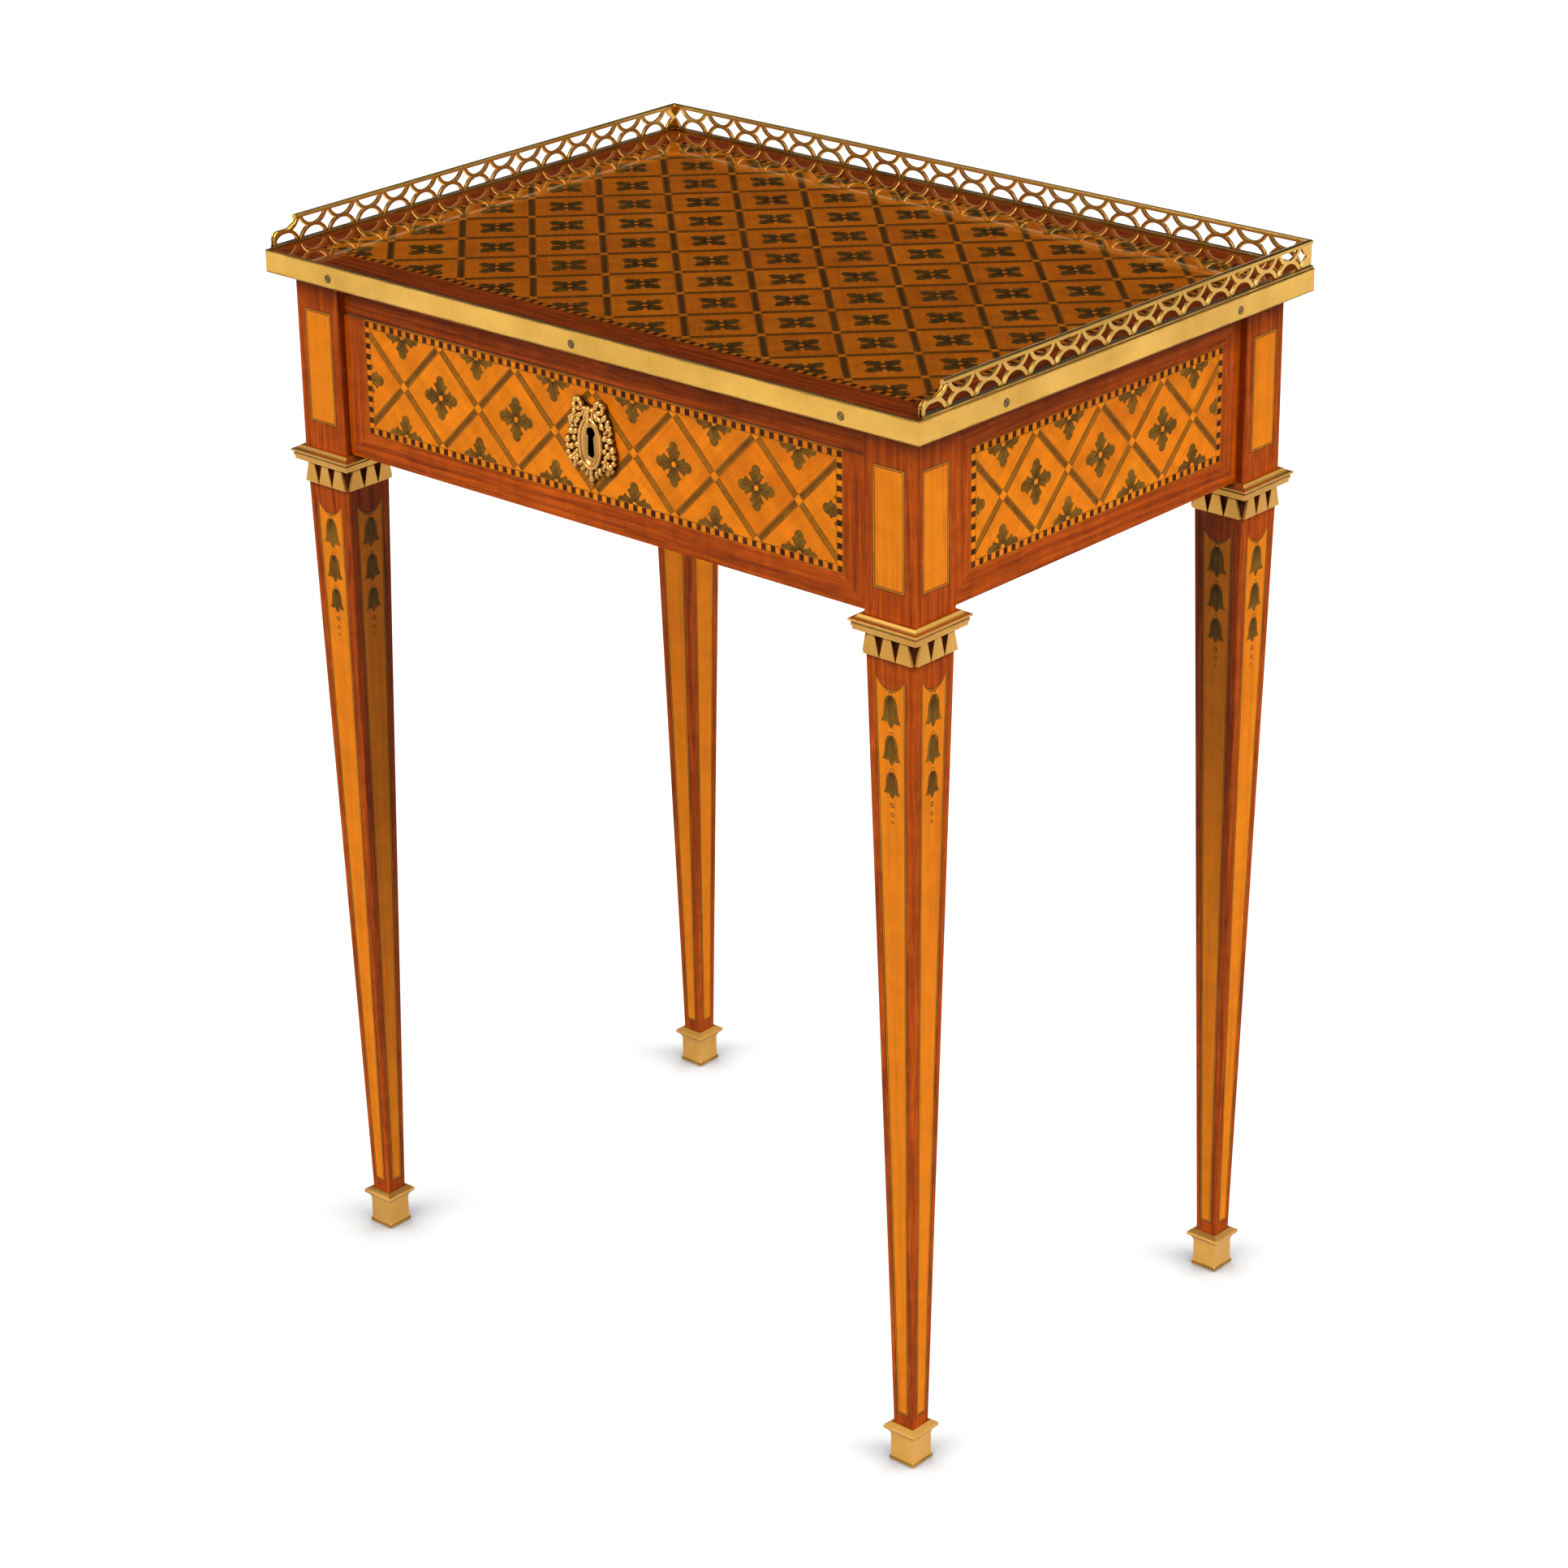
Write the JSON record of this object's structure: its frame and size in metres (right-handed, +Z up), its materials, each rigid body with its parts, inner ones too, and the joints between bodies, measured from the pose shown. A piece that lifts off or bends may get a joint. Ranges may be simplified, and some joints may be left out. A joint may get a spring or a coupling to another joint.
{
  "type": "writing table",
  "caption": "Small marquetry writing table with a pierced brass gallery, frieze drawer with lock, and four tapered legs with toothed brass collars and brass sabots",
  "frame": {"origin": "on the floor, under the middle of the top", "axes": "+Z up; -Y is the front, where the drawer opens; +X is right when facing +Y, along the drawer front"},
  "size_m": [0.55, 0.391, 0.736],
  "materials": {
    "satinwood": "clear polished varnish",
    "crossbanding": "clear polished varnish",
    "marquetry": "clear polished varnish",
    "carcass_wood": "raw oiled wood",
    "drawer_wood": "raw waxed wood",
    "brass": "polished, lightly worn",
    "gilt_brass": "gilt, cast and chased",
    "steel": "dull, filed"
  },
  "bodies": {
    "table": {"top_core": "carcass_wood", "top_crossbanding": "crossbanding", "top_checker_stringing": "marquetry", "top_marquetry": "marquetry", "edge_band_front": "brass", "edge_band_right": "brass", "edge_band_back": "brass", "edge_band_left": "brass", "edge_band_screws": "brass", "gallery_left": "brass", "gallery_back": "brass", "gallery_right": "brass", "leg_front_left": "crossbanding", "leg_front_right": "crossbanding", "leg_back_left": "crossbanding", "leg_back_right": "crossbanding", "leg_inlays_front_left": "satinwood", "leg_inlays_front_right": "satinwood", "leg_inlays_back_left": "satinwood", "leg_inlays_back_right": "satinwood", "collar_front_left": "brass", "collar_front_right": "brass", "collar_back_left": "brass", "collar_back_right": "brass", "sabot_front_left": "brass", "sabot_front_right": "brass", "sabot_back_left": "brass", "sabot_back_right": "brass", "front_top_rail": "crossbanding", "front_bearer_rail": "carcass_wood", "apron_left": "carcass_wood", "apron_right": "carcass_wood", "apron_back": "carcass_wood", "apron_crossbanding_left": "crossbanding", "apron_crossbanding_right": "crossbanding", "apron_crossbanding_back": "crossbanding", "apron_marquetry_left": "marquetry", "apron_marquetry_right": "marquetry", "apron_marquetry_back": "marquetry", "drawer_runner_left": "carcass_wood", "drawer_runner_right": "carcass_wood", "drawer_guide_left": "carcass_wood", "drawer_guide_right": "carcass_wood", "drawer_kicker_left": "carcass_wood", "drawer_kicker_right": "carcass_wood", "glue_blocks": "carcass_wood", "top_screws": "steel"},
    "drawer": {"drawer_front": "carcass_wood", "drawer_crossbanding": "crossbanding", "drawer_marquetry": "marquetry", "drawer_side_left": "drawer_wood", "drawer_side_right": "drawer_wood", "drawer_back": "drawer_wood", "drawer_bottom": "drawer_wood", "escutcheon": "gilt_brass", "lock_case": "steel", "lock_screws": "steel"},
    "lock_bolt": {"lock_bolt": "steel"}
  },
  "joints": [
    {"name": "drawer_slide", "type": "slide", "parent": "table", "child": "drawer", "axis": [0, -1, 0], "range_m": [0, 0.25]},
    {"name": "lock_bolt_slide", "type": "slide", "parent": "drawer", "child": "lock_bolt", "axis": [0, 0, 1], "range_m": [0, 0.006]}
  ]
}
